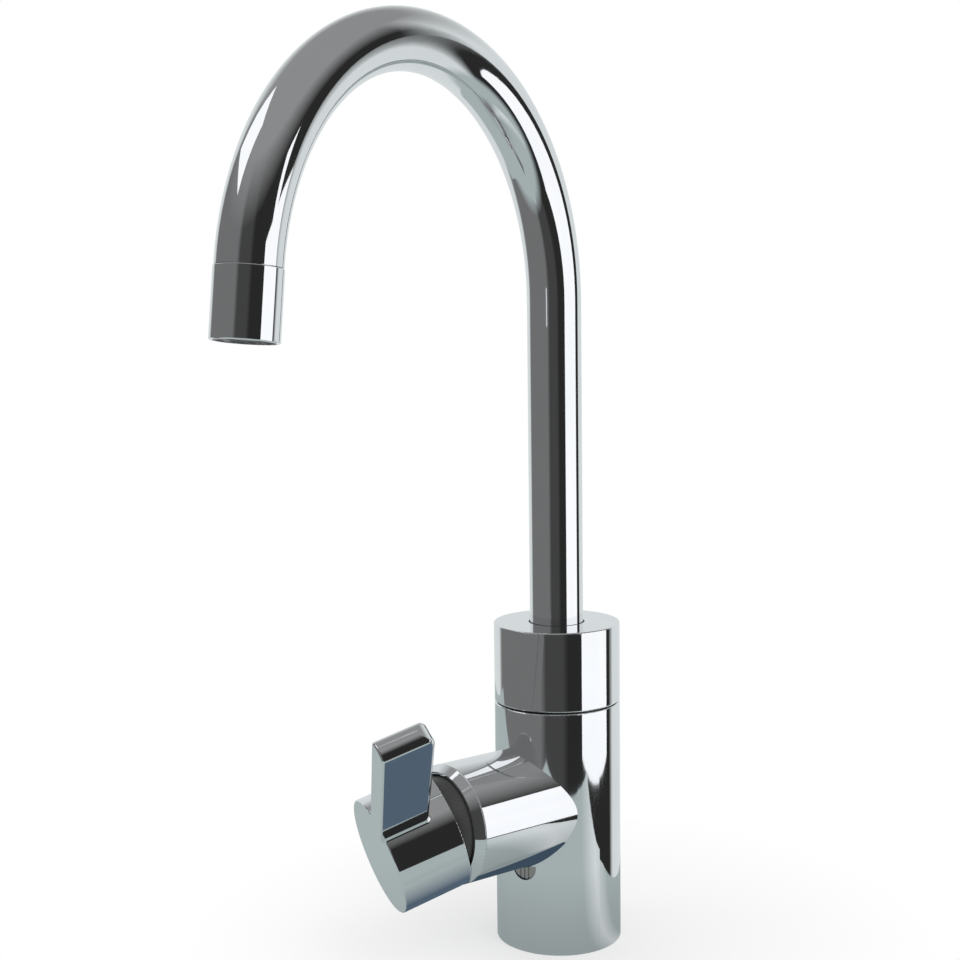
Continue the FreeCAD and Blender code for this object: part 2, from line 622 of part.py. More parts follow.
def cut_front_plug_seat(body):
    """The plug's seat and its cross drilling point at the spout's rest direction."""
    start = "body_radius + plug_recess"
    seat = spout_side_sketch(body, "PlugSeatOutline", start)
    draw_outline(seat, moved(half_round("running_fit"), "(-plug_side)", "plug_height"))
    extrude(body, "PlugSeat", seat, f"{start} - plug_floor", "Pocket")
    drilling = spout_side_sketch(body, "PlugDrillingCircle", "plug_back")
    draw_circle(drilling, "plug_drill", ("-plug_side", "plug_height - plug_drill_drop"))
    extrude(body, "PlugDrilling", drilling, "plug_back + filtered_back * cos(arm_azimuth) + drill_over", "Pocket")


def cut_stop_screw_hole(body):
    """The stop screw comes in from the back, opposite the front plug."""
    sketch = spout_side_sketch(body, "StopScrewCircle", "0")
    draw_circle(sketch, "stop_body + running_fit", ("0", "stop_height"))
    extrude(body, "StopScrewHole", sketch, "body_radius + stop_sink", "Pocket")


def make_base_gasket():
    body = new_body("base_gasket")
    turn(body, "Ring", rectangle("gasket_inner", "0", "gasket_outer", "gasket_depth"))
    return body


def make_front_plug():
    """A half round plug with upright grooves in its face."""
    body = new_body("front_plug")
    outline = new_sketch(body, "PlugOutline", offset="plug_back")
    draw_outline(outline, half_round("0"))
    extrude(body, "Plug", outline, "plug_length")
    face = value("plug_face")
    round_edges(body, "PlugBevel", "bevel", lambda edge: edge.BoundBox.ZMin > face - TINY, "Chamfer")
    for number in (-1, 0, 1):
        middle = f"{number} * plug_groove_pitch"
        groove = new_sketch(body, f"GrooveOutline{number + 2}", offset="plug_face")
        draw_outline(groove, rectangle(f"{middle} - plug_groove_width / 2", "-plug_radius",
                                       f"{middle} + plug_groove_width / 2", "plug_radius"))
        extrude(body, f"Groove{number + 2}", groove, "plug_groove_depth", "Pocket")
    body.Placement = PLUG_FRAME
    return body


def make_front_plug_seal():
    body = new_body("front_plug_seal")
    outline = new_sketch(body, "SealOutline", offset="plug_floor")
    draw_outline(outline, half_round("(-bevel)"))
    extrude(body, "Seal", outline, "plug_seal")
    cut_holes(body, "SealHole", "plug_drill + washer_margin", [("0", "-plug_drill_drop")], "plug_seal",
              offset="plug_back")
    body.Placement = PLUG_FRAME
    return body


def make_cartridge_base():
    body = new_body("cartridge_base")
    disc = new_sketch(body, "DiscCircle", offset="seat")
    draw_circle(disc, "housing_radius")
    extrude(body, "Disc", disc, "base_thickness")
    pegs = new_sketch(body, "PegCircles", offset="seat")
    for peg in PEGS:
        draw_circle(pegs, "peg_radius", peg)
    extrude(body, "Pegs", pegs, "peg_length", back=True)
    cut_holes(body, "SealRecesses", "seal_radius", PORTS, "seal_depth", offset="seat", back=True)
    cut_holes(body, "PortHoles", "port_radius", PORTS, "base_thickness", offset="seat", back=True)
    body.Placement = ARM_AXIS
    return body


def make_port_seals():
    """Five separate seals share one node."""
    rings = []
    for number, port in enumerate(PORTS, start=1):
        outside = doc.addObject("Part::Cylinder", f"SealOutside{number}")
        inside = doc.addObject("Part::Cylinder", f"SealInside{number}")
        for cylinder, radius in ((outside, "seal_radius"), (inside, "port_radius")):
            cylinder.setExpression("Radius", bound(radius))
            cylinder.setExpression("Height", bound("seal_depth"))
            cylinder.setExpression(".Placement.Base.x", bound(port[0]))
            cylinder.setExpression(".Placement.Base.y", bound(port[1]))
            cylinder.setExpression(".Placement.Base.z", bound("seat"))
        ring = doc.addObject("Part::Cut", f"SealRing{number}")
        ring.Base = outside
        ring.Tool = inside
        rings.append(ring)
    group = doc.addObject("Part::Compound", "port_seals")
    group.Label = "port_seals"
    group.Links = rings
    group.Placement = ARM_AXIS
    return group


def make_fixed_disc():
    body = new_body("fixed_disc")
    disc = new_sketch(body, "DiscCircle", offset="fixed_disc_foot")
    draw_circle(disc, "fixed_disc_radius")
    extrude(body, "Disc", disc, "fixed_disc_thickness")
    cut_holes(body, "PortHoles", "port_radius", PORTS, "fixed_disc_thickness",
              offset="fixed_disc_foot", back=True)
    body.Placement = ARM_AXIS
    return body


def make_cartridge_housing():
    body = new_body("cartridge_housing")
    turn(body, "Shell", [
        ("fixed_disc_radius + side_play", "fixed_disc_foot"),
        ("housing_radius", "fixed_disc_foot"),
        ("housing_radius", "shoulder"),
        ("neck_radius", "shoulder"),
        ("neck_radius", "neck_top"),
        ("neck_bore", "neck_top"),
        ("neck_bore", "shoulder - shoulder_thickness"),
        ("housing_inner", "shoulder - shoulder_thickness"),
        ("housing_inner", "moving_disc_foot"),
        ("fixed_disc_radius + side_play", "moving_disc_foot"),
    ])
    body.Placement = ARM_AXIS
    return body


def make_cartridge_nut():
    body = new_body("cartridge_nut")
    flange = "(arm_reach - skirt_depth - side_play)"
    turn(body, "Nut", [
        ("nut_hole", "shoulder"),
        ("thread_bore - running_fit", "shoulder"),
        ("thread_bore - running_fit", flange),
        ("nut_land", flange),
        ("nut_land", "nut_top - edge"),
        ("nut_land - edge", "nut_top"),
        ("nut_hole", "nut_top"),
    ])
    slot = new_sketch(body, "SlotOutline", offset="nut_top")
    draw_outline(slot, rectangle("nut_hole - nut_rim", "-nut_slot_width / 2", "nut_land - nut_rim",
                                 "nut_slot_width / 2"))
    cut = extrude(body, "SpannerSlot", slot, "nut_slot_depth", "Pocket")
    polar_copies(body, "SpannerSlots", cut, NUT_SLOTS)
    body.Placement = ARM_AXIS
    return body


def make_dome_cover():
    body = new_body("dome_cover")
    skirt = "arm_reach - dome_skirt_depth"
    hole_outer = "pivot + sqrt(dome_radius * dome_radius - dome_hole * dome_hole)"
    hole_inner = "pivot + sqrt(dome_inner * dome_inner - dome_hole * dome_hole)"
    turn(body, "Dome", [
        ("dome_radius", skirt),
        ("dome_radius", "pivot", ("0", "pivot"), "dome_radius"),
        ("dome_hole", hole_outer),
        ("dome_hole", hole_inner, ("0", "pivot"), "-dome_inner"),
        ("dome_inner", "pivot"),
        ("dome_inner", skirt),
    ])
    body.Placement = ARM_AXIS
    return body


def make_bevel_ring():
    body = new_body("bevel_ring")
    spigot = "mouth_bore - side_play"
    turn(body, "Ring", [
        ("ring_bore", "arm_reach - ring_spigot"),
        (spigot, "arm_reach - ring_spigot"),
        (spigot, "arm_reach"),
        *rounded_corner("arm_radius", "arm_reach", "seam_edge"),
        ("ring_front", "arm_reach + ring_length"),
        ("ring_bore", "arm_reach + ring_length"),
    ])
    body.Placement = ARM_AXIS
    return body


def make_turning_carrier():
    body = new_body("turning_carrier")
    turn(body, "Barrel", [
        ("0", "turret_foot"),
        ("neck_bore + flange_width", "turret_foot"),
        ("neck_bore + flange_width", "turret_foot + flange_thickness"),
        ("barrel_radius", "turret_foot + flange_thickness"),
        ("barrel_radius", "turret_top"),
        ("0", "turret_top"),
    ])
    slot = new_sketch(body, "SlotOutline", offset="turret_foot")
    half_width = "(stem_width / 2 + side_play)"
    half_length = "(barrel_radius - slot_wall)"
    draw_outline(slot, rectangle(f"-{half_width}", f"-{half_length}", half_width, half_length))
    extrude(body, "StemSlot", slot, "turret_top - turret_foot", "Pocket", back=True)
    cut_pin_hole(body, "pin_radius", "pivot", "neck_bore")
    body.Placement = TURRET_FRAME
    return body


def cut_pin_hole(body, radius, height, reach):
    """A cross hole along the local X axis."""
    sketch = new_sketch(body, "PinCircle", "YZ_Plane")
    draw_circle(sketch, radius, ("0", height))
    extrude(body, "PinHole", sketch, f"2 * {reach}", "Pocket", centred=True)


def make_stem_pin():
    body = new_body("stem_pin")
    sketch = new_sketch(body, "PinCircle", "YZ_Plane")
    draw_circle(sketch, "pin_radius", ("0", "pivot"))
    extrude(body, "Pin", sketch, "2 * (barrel_radius - pin_inset)", centred=True)
    body.Placement = TURRET_FRAME
    return body


def make_moving_disc():
    body = new_body("moving_disc")
    disc = new_sketch(body, "DiscCircle", offset="moving_disc_foot")
    draw_circle(disc, "moving_disc_radius")
    extrude(body, "Disc", disc, "moving_disc_thickness")
    channel = new_sketch(body, "ChannelOutline", offset="moving_disc_foot")
    draw_outline(channel, rectangle("-moving_disc_radius / 2", "-moving_disc_radius / 2",
                                    "moving_disc_radius / 2", "moving_disc_radius / 3"))
    extrude(body, "Channel", channel, "disc_pocket", "Pocket", back=True)
    body.Placement = SLIDER_FRAME
    return body


def make_disc_carrier():
    body = new_body("disc_carrier")
    column = new_sketch(body, "CarrierCircle", offset="slider_foot")
    draw_circle(column, "moving_disc_radius")
    extrude(body, "Carrier", column, "slider_top - slider_foot")
    cut_holes(body, "BallSocket", "ball_radius + ball_play", [("0", "0")], "socket_depth", offset="slider_top")
    body.Placement = SLIDER_FRAME
    return body


def make_cartridge_stem():
    """A square stem on its cross pin, with a ball at its lower end."""
    body = new_body("cartridge_stem")
    half = "(stem_width / 2)"
    square = new_sketch(body, "SquareOutline", offset="-stem_heel")
    draw_outline(square, rectangle(f"-{half}", f"-{half}", half, half))
    extrude(body, "Square", square, "stem_heel + stem_top")
    neck_meets_ball = "-ball_drop + sqrt(ball_radius * ball_radius - stem_neck * stem_neck)"
    turn(body, "NeckAndBall", [
        ("0", "-ball_drop - ball_radius", ("0", "-ball_drop"), "ball_radius"),
        ("stem_neck", neck_meets_ball),
        ("stem_neck", "-stem_heel + stem_neck / 2"),
        ("0", "-stem_heel + stem_neck / 2"),
    ])
    cut_pin_hole(body, "pin_radius + running_fit", "0", "stem_width")
    body.Placement = LEVER_FRAME
    return body


def make_lever_handle():
    """Cap and lever plate in one casting."""
    body = new_body("lever_handle")
    plate = new_sketch(body, "PlateOutline", "YZ_Plane")
    draw_outline(plate, [
        ("plate_start", "plate_back"),
        ("plate_top - plate_corner", "plate_back", ("plate_top - plate_corner", "plate_back + plate_corner"),
         "plate_corner"),
        ("plate_top", "plate_back + plate_corner"),
        ("plate_top", "plate_front"),
        ("plate_start + plate_slope", "plate_front"),
        ("plate_start", "cap_face"),
    ])
    extrude(body, "LeverPlate", plate, "plate_thickness", centred=True)
    half = "(plate_thickness / 2)"
    shoulder = f"plate_top - plate_crown + sqrt(plate_crown * plate_crown - {half} * {half})"
    crown = new_sketch(body, "CrownOutline", offset="plate_front")
    draw_outline(crown, [
        (f"-{half}", shoulder, ("0", "plate_top - plate_crown"), "-plate_crown"),
        (half, shoulder),
        (half, "plate_top + plate_crown"),
        (f"-{half}", "plate_top + plate_crown"),
    ])
    extrude(body, "Crown", crown, "2 * plate_width", "Pocket")
    round_edges(body, "PlateEdges", "plate_edge", lambda edge: is_outside_plate(edge)
                and edge.BoundBox.XLength < TINY and not is_plate_front(edge))
    round_edges(body, "PlateFrontEdges", "plate_front_edge", lambda edge: is_outside_plate(edge)
                and is_plate_front(edge))
    turn(body, "Cap", [
        ("0", "cap_back"),
        *rounded_corner("cap_radius", "cap_back", "cap_back_edge"),
        *rounded_corner("cap_radius", "cap_face", "cap_edge", top=True),
        ("0", "cap_face"),
    ])
    round_edges(body, "PlateFoot", "plate_foot", is_plate_foot)
    cut_holes(body, "Cavity", "cap_radius - cap_wall", [("0", "0")], "cavity_end - cap_back",
              offset="cap_back", back=True)
    turn(body, "ThinRim", [
        ("cap_radius - 2 * cap_wall", "cap_back"),
        ("cap_radius - cap_rim", "cap_back"),
        ("cap_radius - cap_wall", "cap_back + cap_rim_length"),
        ("cap_radius - 2 * cap_wall", "cap_back + cap_rim_length"),
    ], "Groove")
    # The skirt's far side is cut on the slant, parallel to the ring when the lever is fully tilted.
    relief = new_sketch(body, "ReliefOutline", "YZ_Plane")
    draw_outline(relief, [
        ("0", "cap_back"),
        ("-2 * cap_radius", "cap_back + 2 * cap_radius * tan(lever_tilt)"),
        ("-2 * cap_radius", "0"),
        ("0", "0"),
    ])
    extrude(body, "SkirtRelief", relief, "3 * cap_radius", "Pocket", centred=True)
    half = "(adapter_half + running_fit)"
    socket = new_sketch(body, "SocketOutline", offset="cavity_end")
    draw_outline(socket, rectangle(f"-{half}", f"-{half}", half, half))
    extrude(body, "AdapterSocket", socket, "adapter_length + adapter_gap", "Pocket", back=True)
    cut_holes(body, "SetScrewHole", "set_screw_radius + running_fit", [("0", "set_screw_axis")],
              "2 * cap_radius - adapter_half", "XZ_Plane", "2 * cap_radius")
    cut_holes(body, "CoverSeat", "cover_radius + running_fit", [("0", "set_screw_axis")],
              "cap_radius + cover_depth", "XZ_Plane", "2 * cap_radius")
    body.Placement = LEVER_FRAME
    return body


def is_outside_plate(edge):
    """An edge of the lever plate that shows outside the cap."""
    return edge.BoundBox.YMax > value("plate_start + plate_slope") - TINY


def is_plate_front(edge):
    return edge.BoundBox.ZMin > value("plate_front") - TINY


def is_plate_foot(edge):
    """The edge where the back of the lever plate meets the cap."""
    box = edge.BoundBox
    return (box.YMin > value("0.85 * cap_radius") and box.YMax < value("cap_radius") + TINY
            and box.XLength > value("plate_thickness / 4") and abs(box.ZMin - value("plate_back")) < TINY
            and box.ZLength < TINY)


def make_stem_adapter():
    body = new_body("stem_adapter")
    hole = "(adapter_half - adapter_wall)"
    square = new_sketch(body, "SquareOutline", offset="cavity_end")
    draw_outline(square, rectangle("-adapter_half", "-adapter_half", "adapter_half", "adapter_half"))
    extrude(body, "Square", square, "adapter_length")
    inner = new_sketch(body, "HoleOutline", offset="cavity_end")
    draw_outline(inner, rectangle(f"-{hole}", f"-{hole}", hole, hole))
    extrude(body, "StemHole", inner, "adapter_length", "Pocket", back=True)
    cut_holes(body, "ScrewHole", "set_screw_radius + running_fit", [("0", "set_screw_axis")], "adapter_half",
              "XZ_Plane", "adapter_half")
    body.Placement = LEVER_FRAME
    return body


def make_lever_grub_screw():
    """Local +Z runs outward along the screw."""
    body = new_body("lever_grub_screw")
    foot = "stem_width / 2 + running_fit"
    rod = new_sketch(body, "RodCircle", offset=foot)
    draw_circle(rod, "set_screw_radius")
    extrude(body, "Rod", rod, "set_screw_length")
    socket = new_sketch(body, "SocketOutline", offset=f"{foot} + set_screw_length")
    draw_outline(socket, hexagon("screw_socket"))
    extrude(body, "Socket", socket, "screw_socket_depth", "Pocket")
    body.Placement = LEVER_FRAME * shift(0, 0, value("set_screw_axis")) * rotation(X_AXIS, 90)
    return body


def make_grub_screw_cap():
    body = new_body("grub_screw_cap")
    foot = "cap_radius - cover_depth"
    face = "(sqrt(cap_radius * cap_radius - cover_radius * cover_radius) - cover_flush)"
    turn(body, "Cover", [
        ("0", foot),
        ("cover_radius", foot),
        ("cover_radius", f"{face} - bevel"),
        ("cover_radius - bevel", face),
        ("0", face),
    ])
    body.Placement = LEVER_FRAME * shift(0, 0, value("set_screw_axis")) * rotation(X_AXIS, 90)
    return body


def make_swivel_glide_ring():
    body = new_body("swivel_glide_ring")
    turn(body, "Ring", rectangle("glide_inner", "body_top - glide_depth", "glide_outer", "collar_foot"))
    return body


def make_swivel_collar():
    body = new_body("swivel_collar")
    seat_radius = "tube_radius + seat_ring"
    tube_hole = "tube_radius + running_fit"
    thread_end = "collar_foot + head_height"
    turn(body, "Collar", [
        ("head_radius", "collar_foot"),
        *rounded_corner("body_radius", "collar_foot", "edge"),
        *rounded_corner("body_radius", "collar_top", "edge", top=True),
        (seat_radius, "collar_top"),
        (seat_radius, "collar_top - seat_ring_depth"),
        (tube_hole, "collar_top - seat_ring_depth"),
        (tube_hole, thread_end),
        ("head_radius", thread_end),
    ])
    return body


def make_spout_spigot():
    body = new_body("spout_spigot")
    head_foot = "collar_foot + bevel"
    corners = [
        ("inner_tube_radius + running_fit", "spigot_end"),
        ("spigot_radius - edge", "spigot_end"),
        ("spigot_radius", "spigot_end + edge"),
    ]
    for height in O_RING_HEIGHTS:
        low = f"{height} - o_ring_groove / 2"
        high = f"{height} + o_ring_groove / 2"
        corners += [
            ("spigot_radius", low),
            ("o_ring_floor", low),
            ("o_ring_floor", high),
            ("spigot_radius", high),
        ]
    corners += [
        ("spigot_radius", head_foot),
        ("head_radius - running_fit", head_foot),
        ("head_radius - running_fit", "head_top"),
        ("tube_radius + running_fit", "head_top"),
        ("tube_radius + running_fit", "tube_foot"),
        ("spigot_bore", "tube_foot"),
        ("spigot_bore", "spigot_end + spigot_web"),
        ("inner_tube_radius + running_fit", "spigot_end + spigot_web"),
    ]
    turn(body, "Spigot", corners)
    circle = "(inner_tube_radius + spigot_bore) / 2"
    hole = cut_holes(body, "WebHole", "web_hole", [(circle, "0")], "spigot_web", offset="spigot_end", back=True)
    polar_copies(body, "WebHoles", hole, WEB_HOLES)
    # The stop groove lets the spout swing each way from its rest direction, which is opposite the screw.
    half_width = "(stop_tip + stop_play)"
    groove = turn(body, "StopGroove", rectangle("stop_floor", f"stop_height - {half_width}", "head_radius",
                                                f"stop_height + {half_width}"), "Groove", "YZ_Plane")
    groove.Midplane = True
    tip_angle = "asin((stop_tip + side_play) / stop_floor)"
    groove.setExpression("Angle", bound(f"2 * (swivel_each_way * 1 deg + {tip_angle})"))
    return body


def make_spigot_o_rings():
    """Two separate O-rings share one node."""
    rings = []
    for number, height in enumerate(O_RING_HEIGHTS, start=1):
        ring = doc.addObject("Part::Torus", f"ORing{number}")
        ring.setExpression("Radius1", bound("spigot_radius - o_ring"))
        ring.setExpression("Radius2", bound("o_ring"))
        ring.setExpression(".Placement.Base.z", bound(height))
        rings.append(ring)
    group = doc.addObject("Part::Compound", "spigot_o_rings")
    group.Label = "spigot_o_rings"
    group.Links = rings
    return group


def make_swivel_stop_screw():
    """Local +Z runs outward along the screw."""
    body = new_body("swivel_stop_screw")
    tip = "stop_floor + 2 * stop_play"
    start = "spigot_radius + stop_start"
    head = "body_radius - stop_sink"
    turn(body, "Screw", [
        ("0", tip),
        ("stop_tip", tip),
        ("stop_tip", start),
        ("stop_body", start),
        ("stop_body", head),
        ("0", head),
    ])
    socket = new_sketch(body, "SocketOutline", offset=head)
    draw_outline(socket, hexagon("screw_socket"))
    extrude(body, "Socket", socket, "screw_socket_depth", "Pocket")
    body.Placement = shift(0, 0, value("stop_height")) * rotation(X_AXIS, -90)
    return body


def bent_tube(label, outer, inner, foot):
    """A tube along the spout's centre line: upright, then round the bend."""
    body = new_body(label)
    path = new_sketch(body, "CentreLine", "YZ_Plane")
    start = V(0, value(foot), 0)
    bend = V(0, value("bend_height"), 0)
    centre = V(-value("bend_radius"), value("bend_height"), 0)
    upright = path.addGeometry(Part.LineSegment(start, bend), False)
    circle = Part.Circle(centre, V(0, 0, 1), value("bend_radius"))
    arc = path.addGeometry(Part.ArcOfCircle(circle, 0, math.radians(value("bend_angle"))), False)
    fix(path, upright, 1, ("0", foot))
    fix(path, upright, 2, ("0", "bend_height"))
    path.addConstraint(Sketcher.Constraint("Coincident", upright, 2, arc, 1))
    fix(path, arc, 2, ("-outlet_reach", "outlet_height"))
    index = path.addConstraint(Sketcher.Constraint("Radius", arc, value("bend_radius")))
    path.setExpression(f"Constraints[{index}]", bound("bend_radius"))
    section = new_sketch(body, "Section", offset=foot)
    draw_circle(section, outer)
    draw_circle(section, inner)
    doc.recompute()
    pipe = body.newObject("PartDesign::AdditivePipe", "Pipe")
    pipe.Profile = section
    pipe.Spine = path
    body.Tip = pipe
    return body


def make_spout_tube():
    return bent_tube("spout_tube", "tube_radius", "tube_bore", "tube_foot")


def make_filtered_water_tube():
    return bent_tube("filtered_water_tube", "inner_tube_radius", "inner_tube_bore",
                     "chamber_floor + post_step + tube_foot_gap")


def make_tube_seat_ring():
    body = new_body("tube_seat_ring")
    turn(body, "Ring", rectangle("tube_radius + running_fit", "collar_top - seat_ring_depth",
                                 "tube_radius + seat_ring - running_fit", "collar_top - side_play"))
    return body


def make_outlet_sleeve():
    body = new_body("outlet_sleeve")
    turn(body, "Sleeve", [
        ("sleeve_bore", "-sleeve_neck"),
        ("sleeve_neck_radius", "-sleeve_neck"),
        ("sleeve_neck_radius", "sleeve_gap"),
        ("sleeve_radius - bevel", "sleeve_gap"),
        ("sleeve_radius", "sleeve_gap + bevel"),
        ("sleeve_radius", "sleeve_length - bevel"),
        ("sleeve_radius - bevel", "sleeve_length"),
        ("aerator_bore", "sleeve_length"),
        ("aerator_bore", "sleeve_shoulder"),
        ("sleeve_bore", "sleeve_shoulder"),
    ])
    body.Placement = OUTLET_FRAME
    return body


def make_aerator_seal():
    body = new_body("aerator_seal")
    turn(body, "Washer", rectangle("sleeve_bore + side_play", "sleeve_shoulder", "aerator_bore - side_play",
                                   "aerator_top"))
    body.Placement = OUTLET_FRAME
    return body


def make_aerator_housing():
    """A cage with a web, and the filtered water nozzle down its middle."""
    body = new_body("aerator_housing")
    turn(body, "Cage", [
        ("nozzle_bore", "-nozzle_reach"),
        ("nozzle_radius", "-nozzle_reach"),
        ("nozzle_radius", "aerator_top"),
        ("cage_radius", "aerator_top"),
        ("cage_radius", "aerator_end"),
        ("cage_bore", "aerator_end"),
        ("cage_bore", "aerator_top + aerator_web"),
        ("nozzle_foot", "aerator_top + aerator_web"),
        ("nozzle_foot", "aerator_end"),
        ("nozzle_bore", "aerator_end"),
    ])
    circle = "(nozzle_foot + cage_bore) / 2"
    hole = cut_holes(body, "MixedHole", "mixed_hole", [(circle, "0")], "aerator_web",
                     offset="aerator_top", back=True)
    polar_copies(body, "MixedHoles", hole, MIXED_HOLES)
    body.Placement = OUTLET_FRAME
    return body


def make_flow_straightener():
    body = new_body("flow_straightener")
    inner = "nozzle_foot + running_fit"
    outer = "cage_bore - running_fit"
    turn(body, "Disc", rectangle(inner, "grid_foot", outer, "grid_foot + grid_thickness"))
    circles = (f"{inner} + grid_margin", f"{outer} - grid_margin")
    for number, (circle, count) in enumerate(zip(circles, GRID_HOLES), start=1):
        hole = cut_holes(body, f"GridHole{number}", "grid_hole", [(circle, "0")], "grid_thickness",
                         offset="grid_foot", back=True)
        polar_copies(body, f"GridHoles{number}", hole, count)
    body.Placement = OUTLET_FRAME
    return body


MAKERS = [
    make_body_casting,
    make_base_gasket,
    make_front_plug,
    make_front_plug_seal,
    make_cartridge_base,
    make_port_seals,
    make_fixed_disc,
    make_cartridge_housing,
    make_cartridge_nut,
    make_dome_cover,
    make_bevel_ring,
    make_turning_carrier,
    make_stem_pin,
    make_moving_disc,
    make_disc_carrier,
    make_cartridge_stem,
    make_lever_handle,
    make_stem_adapter,
    make_lever_grub_screw,
    make_grub_screw_cap,
    make_swivel_glide_ring,
    make_swivel_collar,
    make_spout_spigot,
    make_spigot_o_rings,
    make_swivel_stop_screw,
    make_spout_tube,
    make_filtered_water_tube,
    make_tube_seat_ring,
    make_outlet_sleeve,
    make_aerator_seal,
    make_aerator_housing,
    make_flow_straightener,
]


def check_document(nodes):
    """Stop before anything is written if a feature failed or a piece isn't one valid closed shape."""
    for feature in doc.Objects:
        failed = [state for state in feature.State if state in ("Invalid", "Error")]
        if failed:
            raise RuntimeError(f"{feature.Name} ({feature.Label}): {failed}")
    for node in nodes:
        if node.Shape.isNull() or not node.Shape.isValid() or node.Shape.Volume <= 0:
            raise RuntimeError(f"{node.Label} has no valid solid")


pieces = [make() for make in MAKERS]
doc.recompute()
check_document(pieces)
os.makedirs("parts", exist_ok=True)
for piece in pieces:
    piece.Shape.exportStep(os.path.join("parts", piece.Label + ".step"))
    box = piece.Shape.BoundBox
    print(f"{piece.Label:20s} solids {len(piece.Shape.Solids)} volume {piece.Shape.Volume:10.1f} mm3  "
          f"z {box.ZMin:7.2f} to {box.ZMax:7.2f}")
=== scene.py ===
import bmesh
import bpy
import math
from mathutils import Matrix, Vector

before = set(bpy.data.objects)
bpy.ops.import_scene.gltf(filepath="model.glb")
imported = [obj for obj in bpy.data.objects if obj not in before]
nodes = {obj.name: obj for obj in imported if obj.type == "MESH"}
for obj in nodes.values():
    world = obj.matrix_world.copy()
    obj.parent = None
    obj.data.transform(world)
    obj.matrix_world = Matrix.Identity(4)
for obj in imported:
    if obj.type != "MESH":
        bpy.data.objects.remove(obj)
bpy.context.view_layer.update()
scene = bpy.context.scene

CAMERA_AZIMUTH = 31.19


def linear(*rgb):
    """Scene-linear colour of an 8-bit screen colour."""
    shares = [v / 255 for v in rgb]
    return tuple(v / 12.92 if v < 11 / 255 else ((v + 0.055) / 1.055) ** 2.4 for v in shares) + (1.0,)


# ---------------------------------------------------------------- node helpers

class Tree:
    """Short way to build a node tree."""

    def __init__(self, owner):
        owner.use_nodes = True
        self.tree = owner.node_tree
        self.tree.nodes.clear()

    def add(self, kind, inputs=None, **settings):
        node = self.tree.nodes.new(kind)
        for key, setting in settings.items():
            setattr(node, key, setting)
        for key, source in (inputs or {}).items():
            self.feed(node, key, source)
        return node

    def feed(self, node, key, source):
        if isinstance(source, bpy.types.NodeSocket):
            self.tree.links.new(source, node.inputs[key])
        else:
            node.inputs[key].default_value = source

    def math(self, operation, *values):
        node = self.add("ShaderNodeMath", operation=operation)
        for index, source in enumerate(values):
            self.feed(node, index, source)
        return node.outputs[0]

    def noise(self, vector, scale, detail=2.0, roughness=0.5):
        return self.add("ShaderNodeTexNoise", {"Vector": vector, "Scale": scale, "Detail": detail,
                                               "Roughness": roughness}).outputs["Fac"]

    def ranged(self, source, low, high, to_low, to_high):
        return self.add("ShaderNodeMapRange", {"Value": source, "From Min": low, "From Max": high,
                                               "To Min": to_low, "To Max": to_high}).outputs[0]

    def mix(self, factor, first, second):
        node = self.add("ShaderNodeMix", data_type="RGBA")
        self.feed(node, 0, factor)
        self.feed(node, 6, first)
        self.feed(node, 7, second)
        return node.outputs[2]

    def ramp(self, source, stops, interpolation="LINEAR"):
        node = self.add("ShaderNodeValToRGB", {"Fac": source})
        node.color_ramp.interpolation = interpolation
        while len(node.color_ramp.elements) < len(stops):
            node.color_ramp.elements.new(0.5)
        for element, (place, colour) in zip(node.color_ramp.elements, stops):
            element.position = place
            element.color = colour
        return node.outputs["Color"]

    def stretched(self, vector, scale):
        return self.add("ShaderNodeMapping", {"Vector": vector, "Scale": scale}).outputs[0]


def chrome(name, colour, smooth, brushed=None):
    """Polished plate: faint polishing marks, a hint of orange peel and a few soft smudges."""
    material = bpy.data.materials.new(name)
    tree = Tree(material)
    place = tree.add("ShaderNodeTexCoord").outputs["Object"]
    cloud = tree.noise(place, 38.0, 3.0)
    fine = tree.noise(tree.stretched(place, brushed or (900.0, 900.0, 120.0)), 1.0, 4.0)
    smudge = tree.ranged(cloud, 0.35, 0.75, smooth, smooth + 0.05)
    rough = tree.math("MULTIPLY_ADD", fine, 0.012, smudge)
    duller = tuple(v * 0.965 for v in colour[:3]) + (1.0,)
    tint = tree.mix(tree.ranged(cloud, 0.3, 0.8, 0.0, 1.0), colour, duller)
    peel = tree.add("ShaderNodeBump", {"Height": tree.noise(place, 140.0, 1.0), "Strength": 0.012,
                                       "Distance": 0.0004}).outputs[0]
    marks = tree.add("ShaderNodeBump", {"Height": fine, "Strength": 0.012, "Distance": 0.0001,
                                        "Normal": peel}).outputs[0]
    shader = tree.add("ShaderNodeBsdfPrincipled", {"Base Color": tint, "Metallic": 1.0, "Roughness": rough,
                                                   "Normal": marks})
    tree.add("ShaderNodeOutputMaterial", {"Surface": shader.outputs[0]})
    return material


def turned_metal(name, colour, rough, ridge):
    """Machined metal with fine tool marks."""
    material = bpy.data.materials.new(name)
    tree = Tree(material)
    place = tree.add("ShaderNodeTexCoord").outputs["Object"]
    lines = tree.noise(tree.stretched(place, ridge), 1.0, 3.0)
    patches = tree.noise(place, 60.0, 3.0)
    tint = tree.mix(patches, colour, tuple(v * 0.72 for v in colour[:3]) + (1.0,))
    bump = tree.add("ShaderNodeBump", {"Height": lines, "Strength": 0.25, "Distance": 0.0001}).outputs[0]
    roughness = tree.ranged(lines, 0.2, 0.8, rough, rough + 0.15)
    shader = tree.add("ShaderNodeBsdfPrincipled", {"Base Color": tint, "Metallic": 1.0, "Roughness": roughness,
                                                   "Normal": bump})
    tree.add("ShaderNodeOutputMaterial", {"Surface": shader.outputs[0]})
    return material


